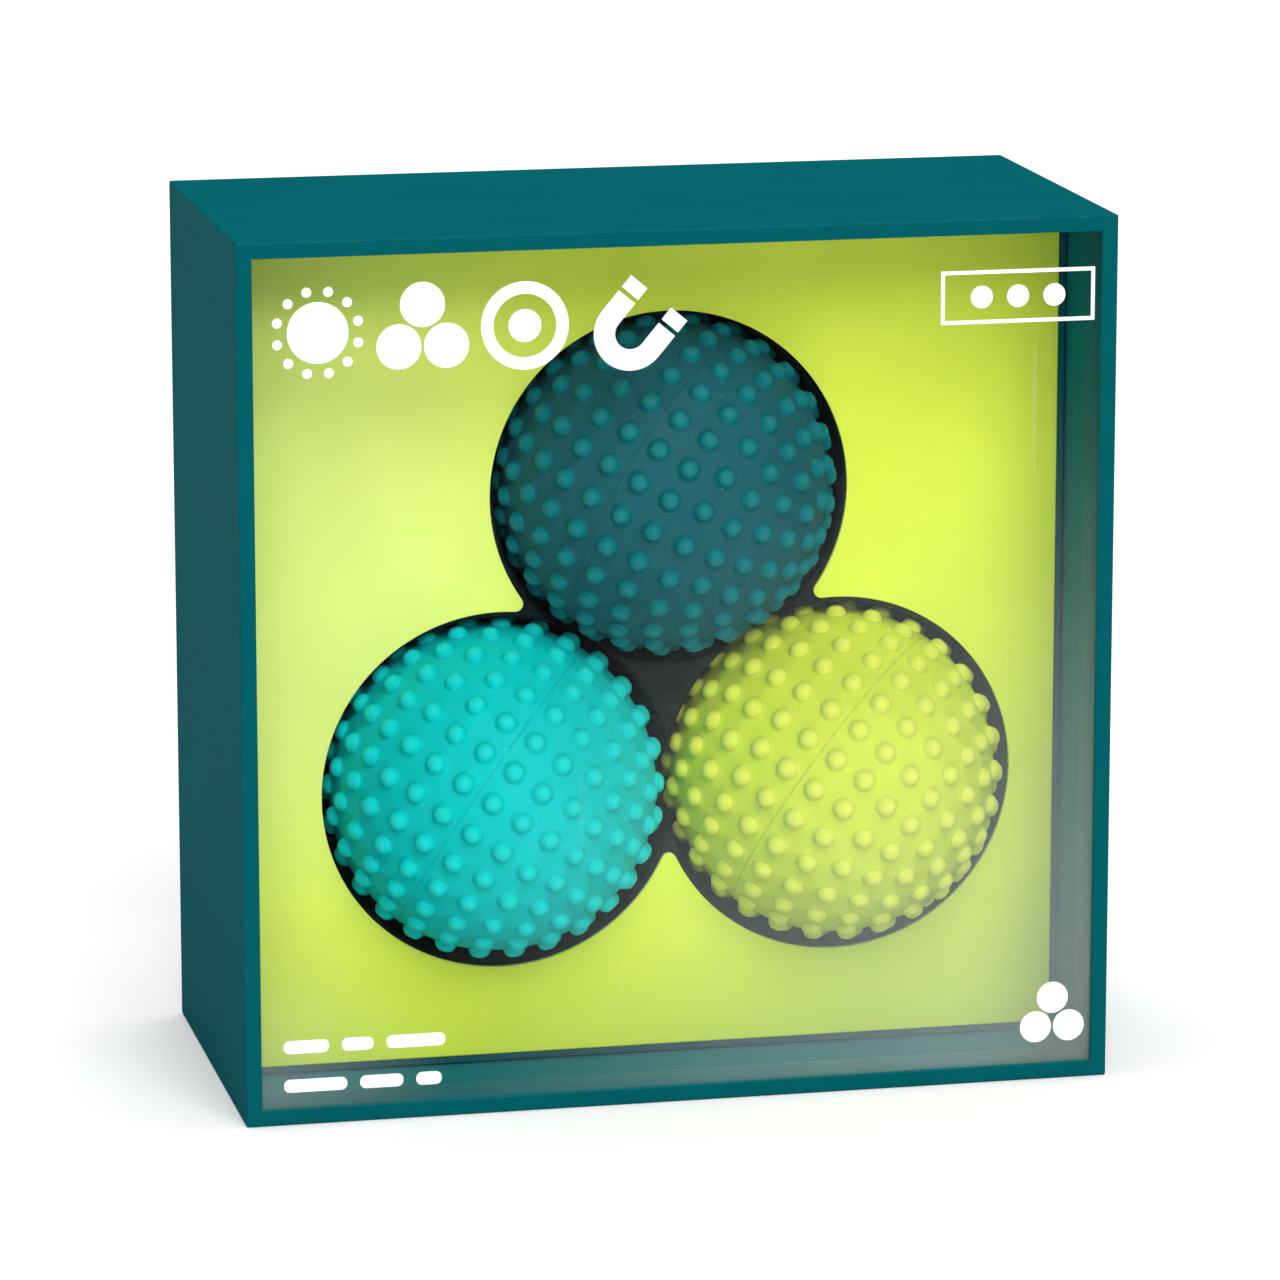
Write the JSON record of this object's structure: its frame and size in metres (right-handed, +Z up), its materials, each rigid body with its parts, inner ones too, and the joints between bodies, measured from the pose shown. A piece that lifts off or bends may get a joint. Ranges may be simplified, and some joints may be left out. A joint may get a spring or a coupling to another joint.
{
  "type": "magnetic desk sculpture",
  "caption": "Nubbed silicone magnet balls resting in a black-cupped lime platform inside a teal display box with a clear window; the box slides open and the balls lift out and turn.",
  "frame": {"origin": "middle of the box's underside", "axes": "+Z up, the window faces -Y, +X to the right as the window is seen"},
  "size_m": [0.089, 0.0436, 0.089],
  "materials": {
    "teal_board": "matte coated board, printed deep teal",
    "window_film": "clear film with white print",
    "lime_card": "satin lime card",
    "black_blister": "thin glossy black thermoformed sheet",
    "dark_teal_silicone": "matte silicone, body darker than the nubs",
    "turquoise_silicone": "matte silicone",
    "lime_silicone": "matte silicone",
    "core_plastic": "moulded ABS",
    "nickel_magnet": "nickel plated"
  },
  "bodies": {
    "lid_half": {"lid_shell": "teal_board", "window_pane": "window_film"},
    "base_half": {"base_tray": "teal_board", "deck_card": "lime_card", "blister_tray": "black_blister"},
    "top_magnet_body": {"top_ball_magnet": "nickel_magnet"},
    "top_shell_body": {"top_ball_skin": "dark_teal_silicone", "top_ball_pin_half": "core_plastic", "top_ball_socket_half": "core_plastic"},
    "left_magnet_body": {"left_ball_magnet": "nickel_magnet"},
    "left_shell_body": {"left_ball_skin": "turquoise_silicone", "left_ball_pin_half": "core_plastic", "left_ball_socket_half": "core_plastic"},
    "right_magnet_body": {"right_ball_magnet": "nickel_magnet"},
    "right_shell_body": {"right_ball_skin": "lime_silicone", "right_ball_pin_half": "core_plastic", "right_ball_socket_half": "core_plastic"}
  },
  "joints": [
    {"name": "base_slide", "type": "slide", "parent": "lid_half", "child": "base_half", "axis": [0, 1, 0], "range_m": [0, 0.12]},
    {"name": "top_ball_lift", "type": "slide", "parent": "base_half", "child": "top_magnet_body", "axis": [0, -1, 0], "range_m": [0, 0.06]},
    {"name": "top_ball_spin", "type": "hinge", "parent": "top_magnet_body", "child": "top_shell_body", "pos_m": [0.0022, -0.00285, 0.06013], "axis": [0, 1, 0], "continuous": true},
    {"name": "left_ball_lift", "type": "slide", "parent": "base_half", "child": "left_magnet_body", "axis": [0, -1, 0], "range_m": [0, 0.06]},
    {"name": "left_ball_spin", "type": "hinge", "parent": "left_magnet_body", "child": "left_shell_body", "pos_m": [-0.0157, -0.00285, 0.02913], "axis": [0, 1, 0], "continuous": true},
    {"name": "right_ball_lift", "type": "slide", "parent": "base_half", "child": "right_magnet_body", "axis": [0, -1, 0], "range_m": [0, 0.06]},
    {"name": "right_ball_spin", "type": "hinge", "parent": "right_magnet_body", "child": "right_shell_body", "pos_m": [0.0201, -0.00285, 0.02913], "axis": [0, 1, 0], "continuous": true}
  ],
  "couplings": [
    {"joint": "top_ball_lift", "follows": "base_slide", "ratio": 0.5},
    {"joint": "left_ball_lift", "follows": "base_slide", "ratio": 0.5},
    {"joint": "right_ball_lift", "follows": "base_slide", "ratio": 0.5}
  ]
}
